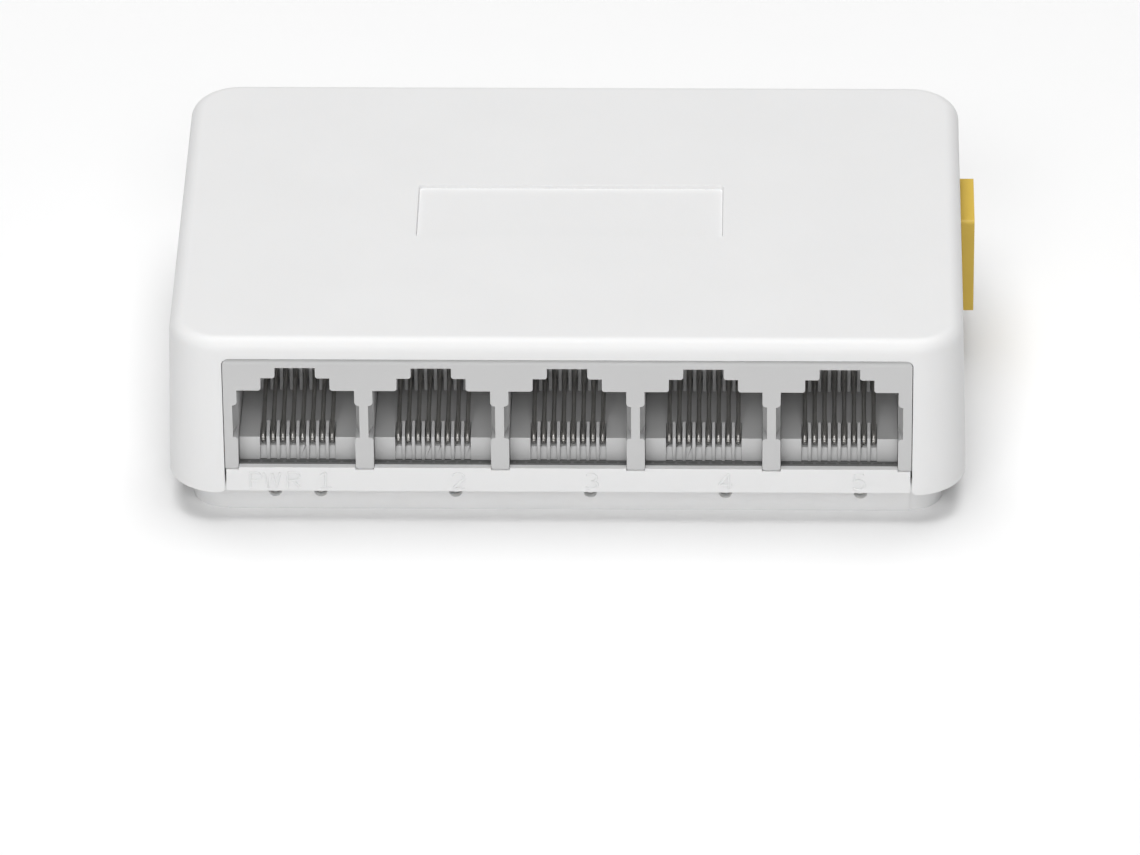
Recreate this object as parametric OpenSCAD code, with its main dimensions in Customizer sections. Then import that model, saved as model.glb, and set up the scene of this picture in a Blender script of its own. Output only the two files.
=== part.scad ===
// Five-port desktop network switch: a white cover held by two screws on a plinth tray, a ganged
// five-port socket block on a circuit board, and a yellow barrel power socket on the right.
// X runs along the row of ports, Y goes from the ports to the back, Z is up from the table.

/* [Case] */
// Width of the cover at its lower edge
case_w = 82.5; // [82:0.5:88]
// Depth of the cover at its lower edge
case_d = 53.2; // [53:0.2:60]
// Overall height above the table
case_h = 21.8; // [21.8:0.1:23]
// Height of the cover's lower edge above the table
cover_z = 3.7; // [3.6:0.05:3.8]
// Radius of the upright corners at the lower edge
corner_r = 5.5; // [5:0.5:6.5]
// Radius of the rounded top edge
edge_r = 1.5; // [1:0.1:1.8]
// Lean of the cover's walls in degrees
draft = 1.4; // [0.8:0.1:1.6]
// Thickness of the cover's walls and roof
wall = 1.6; // [1.4:0.1:1.7]
// How far the plinth's sides stand back from the cover
plinth_side = 2.35; // [2.2:0.05:2.6]
// How far the plinth's front and back stand back from the cover
plinth_front = 2.95; // [2.6:0.05:3]
// Radius of the plinth's corners
plinth_r = 3.4; // [2.6:0.1:4]

/* [Cover details] */
// Length of the blank panel pressed into the roof
panel_w = 31.9; // [20:0.1:50]
// Width of the blank panel pressed into the roof
panel_d = 10.2; // [6:0.1:16]
// Depth of the blank panel
panel_deep = 0.35; // [0.2:0.05:0.6]
// Top of the front mouth above the table
mouth_top = 19.75; // [19.6:0.05:19.9]
// Gap between the socket block and the mouth
mouth_gap = 0.08; // [0.08:0.02:0.2]

/* [Front lip of the tray] */
// Lower edge of the lip above the table
lip_z = 3.9; // [3.85:0.05:4]
// Upper edge of the lip above the table
lip_top = 6.75; // [6.65:0.05:6.8]
// Thickness of the lip
lip_t = 0.7; // [0.6:0.05:0.8]
// How far the lip's face stands back from the cover's foot
lip_in = 0.1; // [0.1:0.02:0.2]
// Radius of the lamp holes in the plinth
lamp_r = 0.7; // [0.5:0.05:0.8]
// Height of the lamp holes above the table
lamp_z = 2.15; // [2.1:0.05:2.3]

/* [Ports] */
// Number of ports
ports = 5; // [5:1:5]
// Distance between port centres
pitch = 13.97; // [13.97:0.01:14]
// Offset of the port row from the middle of the case
row_x = 0.2; // [0:0.1:0.4]
// Clear width of each port
port_w = 12.1; // [12:0.05:12.2]
// Height of the shoulders above the table
shoulder_z = 16; // [15.9:0.05:16.1]
// Width of the wide step of the latch channel
step_w = 7.1; // [6.9:0.1:7.3]
// Roof of the wide step above the table
step_z = 17.5; // [17.4:0.05:17.6]
// Width of the narrow notch of the latch channel
notch_w = 4.15; // [4:0.05:4.3]
// Roof of the narrow notch above the table
notch_z = 18.75; // [18.6:0.05:18.85]
// Depth of the socket block
block_d = 16; // [15.8:0.1:16.4]

/* [Contact springs] */
// Number of contact wires in each port
wires = 8; // [8:1:8]
// Distance between contact wires
wire_pitch = 1.016; // [1:0.004:1.02]
// Radius of a contact wire
wire_r = 0.23; // [0.2:0.01:0.25]
// Slope of the free arms in degrees
arm_slope = 17; // [15:0.5:18]
// Width of the slots that guide the wires
slot_w = 0.68; // [0.66:0.01:0.72]

/* [Power socket] */
// Position of the power socket's centre line along the side
dc_y = 9.8; // [9:0.1:10.5]
// Width of the power socket
dc_w = 9; // [8.8:0.1:9.2]
// Height of the power socket
dc_h = 11; // [10.8:0.1:11.2]
// How far the socket stands out past the middle of the case
dc_face = 42.4; // [42.2:0.1:42.8]
// Radius of the socket's bore
dc_bore_r = 3.15; // [3.1:0.05:3.25]
// Radius of the centre pin
dc_pin_r = 1; // [0.95:0.05:1.05]

/* [Circuit board] */
// Width of the board
board_w = 76; // [75.6:0.1:76.2]
// Height of the board's upper face above the table
board_z = 6.35; // [6.3:0.05:6.4]
// Thickness of the board
board_t = 1.6; // [1.2:0.1:1.6]

/* [Hidden] */
$fn = 48;
port_nodes = [for (i = [1:ports]) str(i)];

front_y = -case_d / 2;
slope = tan(draft);
cover_h = case_h - cover_z;
row_half = (ports - 1) / 2;
block_y = front_y + 0.3;
block_top = mouth_top - mouth_gap;
block_w = ports * pitch + 0.9;
block_foot = lip_top - 0.25;
mouth_w = block_w + 2 * mouth_gap;
mouth_r = 0.75;
lip_w = mouth_w - 0.35;
cavity_y = block_y + 13.7;
comb_y = front_y + 11.1;
insert_y = front_y + 2.2;
floor_z = 9.16;
groove_low = 10.31;
groove_high = 14.17;
groove_x = 0.48;
bend_r = 0.5;
bend_y = insert_y + 0.25 + bend_r;
bend_z = 8.9;
arm_l = 10.9;
run_z = board_z + 0.4;
run_r = 0.4;
tail_z = board_z - board_t - 1.2;
pin_rows = [front_y + 10.2, front_y + 12.74];
board_y0 = front_y + lip_in + lip_t + 0.3;
board_y1 = case_d / 2 - 3.4;
board_under = board_z - board_t;
tray_t = 1.2;
rim_in = wall + 0.15;
rim_top = board_under - 0.05;
dc_z = board_z + 6.5;
dc_back = dc_face - 14.4;
dc_flange = 3.4;
dc_depth = 9.8;
leaf_x = dc_back + 2.5;
leaf_z = board_z + 2.65;
leaf_slope = 7.2;
leaf_w = 2.4;
boss_at = [[-34, 19], [34, 19]];
board_screw_at = [[-31.5, 5.2], [24.4, 20.4]];
rest_post_at = [[-18, 19], [3, 19], [-3, -1], [31, 1.6]];
peg_r = 0.6;
lamp_x = concat([port_x(0) - 2.5], [for (i = [0:ports - 1]) port_x(i) + 2.23]);
lamp_back = front_y + plinth_front + 4.2;
chip_at = [-8, 10];
chip_w = 10;
magnetics_y = front_y + 22;
magnetics_l = 12.2;
magnetics_d = 7.1;

white = [0.93, 0.93, 0.92];
grey = [0.78, 0.78, 0.77];
yellow = [0.8, 0.66, 0.26];
metal = [0.72, 0.72, 0.7];
tin = [0.8, 0.8, 0.8];
black = [0.1, 0.1, 0.11];
board_colour = [0.16, 0.18, 0.17];

function port_x(i) = row_x + (i - row_half) * pitch;
function wire_x(i, k) = port_x(i) + (k - (wires - 1) / 2) * wire_pitch;

// Half of the cover's cross-section: foot, leaning wall, rounded top edge
function side_points(r, h, e) =
    let (cx = r - (h - e) * slope - e / cos(draft))
    concat([[r, 0]], [for (k = [0:8]) let (a = draft + (90 - draft) * k / 8)
        [cx + e * cos(a), h - e + e * sin(a)]]);
function half_points(r, h, e) = concat([[0, 0]], side_points(r, h, e), [[0, h]]);
function span_points(half, r, h, e) =
    let (p = [for (q = side_points(r, h, e)) [q[0] + half, q[1]]], n = len(p) - 1)
    concat([for (k = [0:n]) [-p[n - k][0], p[n - k][1]]], p);

// Draws its children's XY plane as the object's YZ plane, at the given X
module in_side_plane(x) {
    translate([x, 0, 0])
        rotate([90, 0, 90])
            children();
}

// Box between two corners
module span(a, b) {
    translate(a)
        cube(b - a);
}

// Upright disc or tube
module post(p, r, z0, z1) {
    translate([p[0], p[1], z0])
        cylinder(r = r, h = z1 - z0);
}

// Block with leaning walls, rounded upright corners and a rounded top edge
module leaning_block(w, d, h, r, e) {
    for (sx = [-1, 1])
        for (sy = [-1, 1])
            translate([sx * (w / 2 - r), sy * (d / 2 - r), 0])
                rotate_extrude()
                    polygon(half_points(r, h, e));
    rotate([90, 0, 90])
        linear_extrude(w - 2 * r, center = true)
            polygon(span_points(d / 2 - r, r, h, e));
    rotate([90, 0, 0])
        linear_extrude(d - 2 * r, center = true)
            polygon(span_points(w / 2 - r, r, h, e));
}

// Plate with rounded upright corners
module round_plate(w, d, r, z0, z1) {
    translate([0, 0, z0]) {
        for (sx = [-1, 1])
            for (sy = [-1, 1])
                translate([sx * (w / 2 - r), sy * (d / 2 - r), 0])
                    cylinder(r = r, h = z1 - z0);
        translate([-w / 2 + r, -d / 2, 0])
            cube([w - 2 * r, d, z1 - z0]);
        translate([-w / 2, -d / 2 + r, 0])
            cube([w, d - 2 * r, z1 - z0]);
    }
}

// Flat outline w wide from z0 to z1, with its two upper corners rounded
module arch(w, z0, z1, r) {
    translate([-w / 2, z0])
        square([w, z1 - z0 - r]);
    translate([-w / 2 + r, z0])
        square([w - 2 * r, z1 - z0]);
    for (s = [-1, 1])
        translate([s * (w / 2 - r), z1 - r])
            circle(r = r);
}

// Opening in a cover wall: an arch with its lower corners flared by f
module wall_opening(w, z1, r, f) {
    arch(w, cover_z - 1, z1, r);
    for (s = [-1, 1])
        translate([s * w / 2, cover_z])
            difference() {
                translate([-f, -f])
                    square([2 * f, 2 * f]);
                translate([s * f, f])
                    circle(r = f);
            }
}

// The arch's plane stands upright across Y
module across_front(y, t) {
    translate([0, y + t, 0])
        rotate([90, 0, 0])
            linear_extrude(t)
                children();
}

module top_cover() {
    boss_r = 2.6;
    pilot_r = 1.08;
    boss_foot = 5.2;
    color(white)
        difference() {
            union() {
                difference() {
                    translate([0, 0, cover_z])
                        leaning_block(case_w, case_d, cover_h, corner_r, edge_r);
                    translate([0, 0, cover_z - 1])
                        leaning_block(case_w - 2 * wall, case_d - 2 * wall, cover_h + 1 - wall,
                            corner_r - wall, 0.5);
                }
                for (p = boss_at)
                    post(p, boss_r, boss_foot, case_h - wall / 2);
            }
            for (p = boss_at)
                post(p, pilot_r, boss_foot - 1, boss_foot + 8);
            translate([row_x, 0, 0])
                across_front(front_y - 1, 5)
                    wall_opening(mouth_w, mouth_top, mouth_r, 0.6);
            in_side_plane(case_w / 2 - wall - 1.5)
                linear_extrude(4)
                    translate([dc_y, 0])
                        wall_opening(dc_w + 0.3, board_z + dc_h + 0.15, 0.5, 0.4);
            translate([-panel_w / 2, -panel_d / 2 - 0.15, case_h - panel_deep])
                cube([panel_w, panel_d, 1]);
        }
}

module lip_outline() {
    difference() {
        translate([row_x - lip_w / 2, lip_z])
            square([lip_w, lip_top - lip_z]);
        for (i = [0:ports])
            translate([port_x(i - 0.5) - 0.97, lip_top - 0.3])
                square([1.94, 1]);
    }
}

module base_tray() {
    plinth_w = case_w - 2 * plinth_side;
    plinth_d = case_d - 2 * plinth_front;
    tray_wall = 1.4;
    side_w = dc_w - 0.1;
    boss_top = 4.9;
    slot_l = 11;
    color(white)
        difference() {
            union() {
                difference() {
                    round_plate(plinth_w, plinth_d, plinth_r, 0, cover_z);
                    round_plate(plinth_w - 2 * tray_wall, plinth_d - 2 * tray_wall,
                        plinth_r - tray_wall, tray_t, cover_z + 1);
                }
                difference() {
                    round_plate(case_w - 2 * rim_in, case_d - 2 * rim_in, corner_r - rim_in,
                        cover_z - 0.6, rim_top);
                    round_plate(plinth_w - 2 * tray_wall, plinth_d - 2 * tray_wall,
                        plinth_r - tray_wall, cover_z - 1, rim_top + 1);
                }
                span([row_x - lip_w / 2, front_y + plinth_front - 0.15, 0],
                    [row_x + lip_w / 2, front_y + plinth_front + 0.5, cover_z]);
                across_front(front_y + lip_in, lip_t)
                    lip_outline();
                span([row_x - lip_w / 2, front_y + lip_in, lip_z],
                    [row_x + lip_w / 2, front_y + plinth_front + 0.5, rim_top]);
                span([case_w / 2 - 0.95, dc_y - side_w / 2, lip_z],
                    [case_w / 2 - 0.1, dc_y + side_w / 2, board_z - 0.1]);
                span([case_w / 2 - rim_in - 0.5, dc_y - side_w / 2, lip_z],
                    [case_w / 2 - 0.5, dc_y + side_w / 2, rim_top]);
                for (p = boss_at)
                    post(p, 3, 0, boss_top);
                for (p = board_screw_at)
                    post(p, 2.2, 0.5, board_under);
                for (p = rest_post_at)
                    post(p, 1.5, 0.5, board_under);
            }
            for (p = boss_at) {
                post(p, 1.4, -1, boss_top + 1);
                post(p, 2.5, -1, 2.4);
            }
            for (p = board_screw_at)
                post(p, 0.85, 1, board_under + 1);
            for (x = lamp_x)
                translate([x, front_y + plinth_front - 1, lamp_z])
                    rotate([-90, 0, 0])
                        cylinder(r = lamp_r, h = 4);
            for (s = [-1, 1])
                for (k = [0:5])
                    translate([s * 16 - 7.5 + 3 * k, 0, -1]) {
                        translate([-0.6, -slot_l / 2, 0])
                            cube([1.2, slot_l, 3]);
                        for (e = [-1, 1])
                            translate([0, e * slot_l / 2, 0])
                                cylinder(r = 0.6, h = 3);
                    }
        }
}

// Board with cut front corners and a tongue that reaches out between the mouth's two sides
module board_outline() {
    y0 = front_y + wall + 0.3;
    cut = 1.8;
    half = board_w / 2;
    tongue = lip_w / 2 - 0.3;
    polygon([
        [-half, y0 + cut], [-half + cut, y0], [row_x - tongue, y0], [row_x - tongue, board_y0],
        [row_x + tongue, board_y0], [row_x + tongue, y0], [half - cut, y0], [half, y0 + cut],
        [half, board_y1], [-half, board_y1]]);
}

module circuit_board() {
    clear_r = 3.3;
    color(board_colour)
        difference() {
            translate([0, 0, board_under])
                linear_extrude(board_t)
                    board_outline();
            for (p = boss_at) {
                post(p, clear_r, board_under - 1, board_z + 1);
                translate([p[0] > 0 ? p[0] : p[0] - 6, p[1], board_under - 1])
                    cube([6, 8, board_t + 2]);
                translate([p[0] - clear_r, p[1], board_under - 1])
                    cube([2 * clear_r, 8, board_t + 2]);
                translate([p[0] > 0 ? p[0] : p[0] - 6, p[1] - clear_r, board_under - 1])
                    cube([6, 2 * clear_r, board_t + 2]);
            }
            for (p = board_screw_at)
                post(p, 1.1, board_under - 1, board_z + 1);
            for (i = [0:ports - 1])
                for (k = [0:wires - 1])
                    post([wire_x(i, k), pin_rows[k % 2]], 0.38, board_under - 1, board_z + 1);
            for (i = [0:ports])
                post(peg_at(i), peg_r + 0.06, board_under - 1, board_z + 1);
            for (x = [dc_back - 0.7, leaf_x - 0.9])
                span([x, dc_y - 1.4, board_under - 1], [x + 1, dc_y + 1.4, board_z + 1]);
            span([dc_back + 4.6, dc_y + 2.6, board_under - 1], [dc_back + 7.4, dc_y + 3.6, board_z + 1]);
            for (x = lamp_x)
                for (s = [-1, 1])
                    post([x + s * 0.5, lamp_lead_y()], 0.3, board_under - 1, board_z + 1);
        }
}

function peg_at(i) = [row_x + (i - ports / 2) * (pitch - 0.1), cavity_y + 1];
function lamp_lead_y() = lamp_back + 0.4;

// One moulded block: roof, six uprights, back wall, latch channels, rear guide comb and pegs
module jack_housing() {
    latch_y = block_y + 9;
    color(grey)
        difference() {
            union() {
                difference() {
                    translate([row_x, 0, 0])
                        across_front(block_y, block_d)
                            arch(block_w, block_foot, block_top, mouth_r - 0.1);
                    for (i = [0:ports - 1])
                        span([port_x(i) - port_w / 2, block_y - 1, block_foot - 1],
                            [port_x(i) + port_w / 2, cavity_y, shoulder_z]);
                }
                for (i = [0:ports - 1])
                    for (k = [0:wires])
                        translate([wire_x(i, k - 0.5), 0, 0])
                            span([-(wire_pitch - slot_w) / 2, comb_y, floor_z + 0.1],
                                [(wire_pitch - slot_w) / 2, cavity_y + 0.5, shoulder_z + 0.5]);
                for (i = [0:ports])
                    post(peg_at(i), peg_r, board_under - 0.4, block_foot + 2);
            }
            for (i = [0:ports - 1])
                translate([port_x(i), 0, 0]) {
                    span([-step_w / 2, block_y - 1, shoulder_z - 0.5], [step_w / 2, latch_y, step_z]);
                    span([-notch_w / 2, block_y - 1, step_z - 0.5], [notch_w / 2, latch_y, notch_z]);
                    for (s = [-1, 1])
                        translate([0, 0, groove_low])
                            linear_extrude(groove_high - groove_low)
                                polygon([
                                    [s * (port_w / 2 - 0.1), block_y - 0.1],
                                    [s * (port_w / 2 + groove_x), block_y - 0.1],
                                    [s * (port_w / 2 + groove_x), block_y + 0.9],
                                    [s * (port_w / 2 - 0.1), block_y + 3]]);
                }
            translate([row_x - block_w, block_y, block_top])
                rotate([0, 90, 0])
                    linear_extrude(2 * block_w)
                        difference() {
                            square([1.2, 1.2], center = true);
                            translate([0.6, 0.6])
                                circle(r = 0.6);
                        }
        }
}

// Port floor with the front comb that keeps the contact wires apart
module contact_insert(i) {
    half = port_w / 2 - 0.03;
    comb_half = (wires - 1) / 2 * wire_pitch + slot_w / 2;
    slab_y = insert_y + 3;
    back_y = cavity_y - 0.3;
    foot_z = board_z + 0.03;
    color(grey)
        translate([port_x(i), 0, 0]) {
            span([-half, slab_y, run_z + 0.35], [half, back_y, floor_z]);
            for (s = [-1, 1])
                span([s > 0 ? comb_half : -half, insert_y, foot_z],
                    [s > 0 ? half : -comb_half, back_y, floor_z]);
            for (k = [1:wires - 1])
                translate([wire_x(0, k - 0.5) - port_x(0) - (wire_pitch - slot_w) / 2, 0, 0])
                    in_side_plane(0)
                        linear_extrude(wire_pitch - slot_w)
                            polygon([[insert_y, foot_z], [insert_y, floor_z + 0.05],
                                [insert_y + 2, floor_z + 0.75], [slab_y + 0.3, floor_z],
                                [slab_y + 0.3, foot_z]]);
            in_side_plane(-comb_half)
                linear_extrude(2 * comb_half)
                    polygon([[insert_y, foot_z], [insert_y, 7.3], [insert_y + 0.35, 7.75],
                        [insert_y + 1.8, 7.9], [insert_y + 1.8, foot_z]]);
        }
}

// The eight free arms of a port: they turn about the front bend when a plug presses them
module contact_springs(i) {
    color(metal)
        for (k = [0:wires - 1])
            in_side_plane(wire_x(i, k))
                translate([bend_y, bend_z]) {
                    rotate([0, 0, 90 + arm_slope])
                        rotate_extrude(angle = 90 - arm_slope, $fn = 32)
                            translate([bend_r, 0])
                                circle(r = wire_r, $fn = 24);
                    rotate([0, 0, arm_slope])
                        translate([0, bend_r, 0])
                            rotate([0, 90, 0])
                                cylinder(r = wire_r, h = arm_l, $fn = 24);
                }
}

// Turn of wire about a centre in the YZ plane, from angle a over angle span_a
module wire_turn(c, r, a, span_a = 90) {
    translate(c)
        rotate([0, 0, a])
            rotate_extrude(angle = span_a, $fn = 32)
                translate([r, 0])
                    circle(r = wire_r, $fn = 24);
}

module wire_back(y0, y1, z) {
    translate([y0, z])
        rotate([0, 90, 0])
            cylinder(r = wire_r, h = y1 - y0, $fn = 24);
}

module wire_down(y, z0, z1) {
    translate([y, z0])
        rotate([-90, 0, 0])
            cylinder(r = wire_r, h = z1 - z0, $fn = 24);
}

// The fixed length of each wire: round the front bend, back over the comb's bar, down behind it,
// back under the floor and down into the board
module contact_leads(i) {
    shelf_z = bend_z - bend_r;
    down_y = insert_y + 2.45;
    color(metal)
        for (k = [0:wires - 1])
            let (pin = pin_rows[k % 2])
                in_side_plane(wire_x(i, k)) {
                    wire_turn([bend_y, bend_z], bend_r, 182.3, 87.7);
                    wire_back(bend_y, down_y - run_r, shelf_z);
                    wire_turn([down_y - run_r, shelf_z - run_r], run_r, 0);
                    wire_down(down_y, run_z + run_r, shelf_z - run_r);
                    wire_turn([down_y + run_r, run_z + run_r], run_r, 180);
                    wire_back(down_y + run_r, pin - run_r, run_z);
                    wire_turn([pin - run_r, run_z - run_r], run_r, 0);
                    wire_down(pin, tail_z, run_z - run_r);
                }
}

// Disc along X on the power socket's axis
module dc_round(r, x0, x1) {
    translate([x0, dc_y, dc_z])
        rotate([0, 90, 0])
            cylinder(r = r, h = x1 - x0);
}

module dc_socket_body() {
    mouth_chamfer = 0.35;
    rear_w = dc_w - 0.4;
    color(yellow)
        difference() {
            union() {
                in_side_plane(dc_face - dc_flange)
                    linear_extrude(dc_flange) {
                        translate([dc_y - dc_w / 2, board_z])
                            square([dc_w, dc_h - 0.4]);
                        translate([dc_y - dc_w / 2 + 0.4, board_z])
                            square([dc_w - 0.8, dc_h]);
                        for (s = [-1, 1])
                            translate([dc_y + s * (dc_w / 2 - 0.4), board_z + dc_h - 0.4])
                                circle(r = 0.4);
                    }
                dc_round(rear_w / 2, dc_back, dc_face - dc_flange + 0.1);
                span([dc_back, dc_y - rear_w / 2, board_z],
                    [dc_face - dc_flange + 0.1, dc_y + rear_w / 2, dc_z]);
            }
            dc_round(dc_bore_r, dc_face - dc_depth, dc_face + 1);
            translate([dc_face - mouth_chamfer, dc_y, dc_z])
                rotate([0, 90, 0])
                    cylinder(r1 = dc_bore_r, r2 = dc_bore_r + mouth_chamfer + 0.1,
                        h = mouth_chamfer + 0.1);
            dc_round(dc_pin_r + 0.32, dc_back - 1, dc_face - dc_depth + 1);
            span([dc_back + 1.6, dc_y - leaf_w / 2 - 0.2, board_z - 1],
                [dc_face - 1.6, dc_y + leaf_w / 2 + 0.2, dc_z - dc_bore_r + 1]);
            span([dc_back + 4.4, dc_y, board_z - 1], [dc_back + 7.6, dc_y + 3.7, dc_z - dc_bore_r + 0.55]);
        }
}

module dc_centre_pin() {
    tip = 0.5;
    pin_end = dc_face - 0.8;
    color(metal) {
        dc_round(dc_pin_r + 0.3, dc_back, dc_face - dc_depth);
        dc_round(dc_pin_r, dc_face - dc_depth - 0.1, pin_end - tip);
        translate([pin_end - tip, dc_y, dc_z])
            rotate([0, 90, 0])
                cylinder(r1 = dc_pin_r, r2 = dc_pin_r - tip, h = tip);
        span([dc_back - 0.4, dc_y - 1.2, tail_z - 0.5], [dc_back, dc_y + 1.2, dc_z + 1.8]);
    }
}

// Leaf that presses on the plug's sleeve; it bends down about its root
module dc_sleeve_spring() {
    leaf_l = dc_face - 2.4 - leaf_x;
    wing_x = dc_back + 5 - leaf_x;
    color(metal)
        translate([leaf_x, dc_y, leaf_z])
            rotate([0, -leaf_slope, 0]) {
                span([0.1, -leaf_w / 2, -0.15], [leaf_l, leaf_w / 2, 0.15]);
                span([wing_x, 0, -0.15], [wing_x + 2, 2.2, 0.15]);
            }
}

module dc_sleeve_tail() {
    color(metal)
        span([leaf_x - 0.6, dc_y - leaf_w / 2, tail_z - 0.5], [leaf_x - 0.15, dc_y + leaf_w / 2, leaf_z + 0.2]);
}

// Fixed contact that the leaf's wing rests against until a plug is in
module dc_switch_contact() {
    strip_y = dc_y + 2.9;
    lip_under = leaf_z + (dc_back + 6 - leaf_x) * tan(leaf_slope) + 0.35;
    color(metal) {
        span([dc_back + 5, strip_y, tail_z - 0.5], [dc_back + 7, strip_y + 0.4, lip_under + 0.3]);
        span([dc_back + 5, strip_y - 1.2, lip_under], [dc_back + 7, strip_y + 0.1, lip_under + 0.3]);
    }
}

// Gull-wing lead: leaves a package side, drops and stands on the board
module gull_lead(w, h, reach) {
    t = 0.18;
    translate([-w / 2, 0, board_z])
        in_side_plane(0)
            linear_extrude(w)
                polygon([[0, h], [reach * 0.4, h], [reach * 0.4, t], [reach, t], [reach, 0],
                    [reach * 0.4 - t, 0], [reach * 0.4 - t, h - t], [0, h - t]]);
}

module magnetics(i) {
    color(black)
        translate([port_x(i), magnetics_y, board_z])
            difference() {
                span([-magnetics_l / 2, -magnetics_d / 2, 0.25], [magnetics_l / 2, magnetics_d / 2, 5.6]);
                translate([-magnetics_l / 2 + 1.2, -magnetics_d / 2 + 1.2, 5.4])
                    cylinder(r = 0.5, h = 1);
            }
}

module magnetics_leads() {
    color(tin)
        for (i = [0:ports - 1])
            for (k = [0:7])
                for (s = [0, 180])
                    translate([port_x(i) + (k - 3.5) * 1.27, magnetics_y, 0])
                        rotate([0, 0, s])
                            translate([0, magnetics_d / 2, 0])
                                gull_lead(0.45, 1.6, 1.2);
}

module switch_chip() {
    color(black)
        translate([chip_at[0], chip_at[1], board_z])
            difference() {
                span([-chip_w / 2, -chip_w / 2, 0.1], [chip_w / 2, chip_w / 2, 1.5]);
                translate([-chip_w / 2 + 1.3, -chip_w / 2 + 1.3, 1.42])
                    cylinder(r = 0.5, h = 1);
            }
}

module switch_chip_leads() {
    color(tin)
        for (a = [0:90:270])
            for (k = [0:15])
                translate([chip_at[0], chip_at[1], 0])
                    rotate([0, 0, a])
                        translate([(k - 7.5) * 0.5, chip_w / 2, 0])
                            gull_lead(0.22, 0.8, 1);
}

// Metal can with round ends, lying flat with its long axis along Y
module crystal_can() {
    can_r = 2.2;
    can_l = 10.6;
    color(tin)
        translate([6.5, 7, board_z]) {
            for (s = [-1, 1])
                translate([0, s * (can_l / 2 - can_r), 0.4])
                    cylinder(r = can_r, h = 3.4);
            span([-can_r, -can_l / 2 + can_r, 0.4], [can_r, can_l / 2 - can_r, 3.8]);
            span([-can_r - 0.3, -can_l / 2 + 0.6, 0], [can_r + 0.3, can_l / 2 - 0.6, 0.45]);
        }
}

// Upright electrolytic capacitor: sleeve with a rolled groove and a plain top
module capacitor(p, r, h) {
    translate([p[0], p[1], board_z])
        rotate_extrude()
            polygon([[0, 0], [r, 0], [r, 1.2], [r - 0.3, 1.6], [r, 2], [r, h - 0.4],
                [r - 0.4, h], [0, h]]);
}

module input_capacitor() {
    color([0.12, 0.13, 0.2])
        capacitor([20.4, 14.2], 3.15, 11);
}

module output_capacitor() {
    color([0.12, 0.13, 0.2])
        capacitor([12.6, 19.6], 2.5, 11);
}

module power_inductor() {
    color([0.25, 0.25, 0.27])
        translate([17.4, 6.7, board_z])
            difference() {
                span([-3, -3, 0], [3, 3, 2.9]);
                translate([0, 0, 2.6])
                    difference() {
                        cylinder(r = 2.7, h = 1);
                        translate([0, 0, -1])
                            cylinder(r = 2.1, h = 3);
                    }
            }
}

module buck_regulator() {
    at = [12.6, 12.8];
    color(black)
        translate([at[0], at[1], board_z])
            span([-2.45, -1.95, 0.12], [2.45, 1.95, 1.5]);
    color(tin)
        for (s = [0, 180])
            for (k = [0:3])
                translate([at[0], at[1], 0])
                    rotate([0, 0, s])
                        translate([(k - 1.5) * 1.27, 1.9, 0])
                            gull_lead(0.42, 0.9, 1.05);
}

module polarity_diode() {
    color(black)
        translate([24.4, 7, board_z])
            span([-2.1, -1.3, 0.1], [2.1, 1.3, 2.2]);
    color(tin)
        for (s = [-1, 1])
            translate([24.4 + s * 2.1, 7, board_z])
                span([-0.35, -0.7, 0], [0.35, 0.7, 1]);
}

// Row of small chip parts, n of them, dx apart, each l by w by h
module chip_row(p, n, dx, l, w, h) {
    for (k = [0:n - 1])
        translate([p[0] + k * dx - w / 2, p[1] - l / 2, board_z])
            cube([w, l, h]);
}

module chip_resistors() {
    color([0.15, 0.15, 0.16]) {
        chip_row([-28, 1.8], 4, 1.8, 1.6, 0.8, 0.45);
        chip_row([-12.5, 1.6], 5, 1.8, 1.6, 0.8, 0.45);
        chip_row([-27.5, 12], 6, 1.8, 1.6, 0.8, 0.45);
    }
}

module chip_capacitors() {
    color([0.62, 0.5, 0.36]) {
        chip_row([-24, 17], 4, 2.2, 2, 1.25, 0.9);
        chip_row([-15, 19], 2, 2.2, 2, 1.25, 0.9);
        chip_row([-5, 19.4], 4, 2.2, 2, 1.25, 0.9);
        chip_row([13, 2.4], 3, 2.2, 2, 1.25, 0.9);
    }
}

// Small lamps behind the plinth's holes: a flanged body and a round nose that fills the hole
module status_lamps() {
    nose_r = lamp_r - 0.08;
    nose_tip = front_y + plinth_front + 0.15;
    color([0.85, 0.85, 0.82])
        for (x = lamp_x)
            translate([x, 0, lamp_z])
                rotate([-90, 0, 0]) {
                    translate([0, 0, nose_tip + nose_r])
                        cylinder(r = nose_r, h = lamp_back - 1.5 - nose_tip - nose_r);
                    translate([0, 0, lamp_back - 1.7])
                        cylinder(r = 0.85, h = 1.3);
                    translate([0, 0, lamp_back - 0.5])
                        cylinder(r = 0.93, h = 0.5);
                    intersection() {
                        translate([0, 0, nose_tip + nose_r])
                            sphere(r = nose_r);
                        translate([0, 0, nose_tip - 0.1])
                            cylinder(r = 1, h = nose_r + 0.11);
                    }
                }
}

module lamp_leads() {
    color(tin)
        for (x = lamp_x)
            for (s = [-1, 1])
                translate([x + s * 0.5, 0, 0]) {
                    span([-0.15, lamp_back, lamp_z - 0.15], [0.15, lamp_lead_y() + 0.15, lamp_z + 0.15]);
                    span([-0.15, lamp_lead_y() - 0.15, lamp_z - 0.15],
                        [0.15, lamp_lead_y() + 0.15, board_z]);
                }
}

// Pan-head screw standing on its tip; the head's cross recess is cut from above
module screw(r, head_r, head_h, l) {
    difference() {
        union() {
            cylinder(r = head_r, h = head_h);
            translate([0, 0, -l])
                cylinder(r = r, h = l + 0.1);
        }
        for (a = [0, 90])
            rotate([0, 0, a])
                translate([-head_r * 0.55, -0.2, head_h - 0.5])
                    cube([head_r * 1.1, 0.4, 1]);
    }
}

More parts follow.
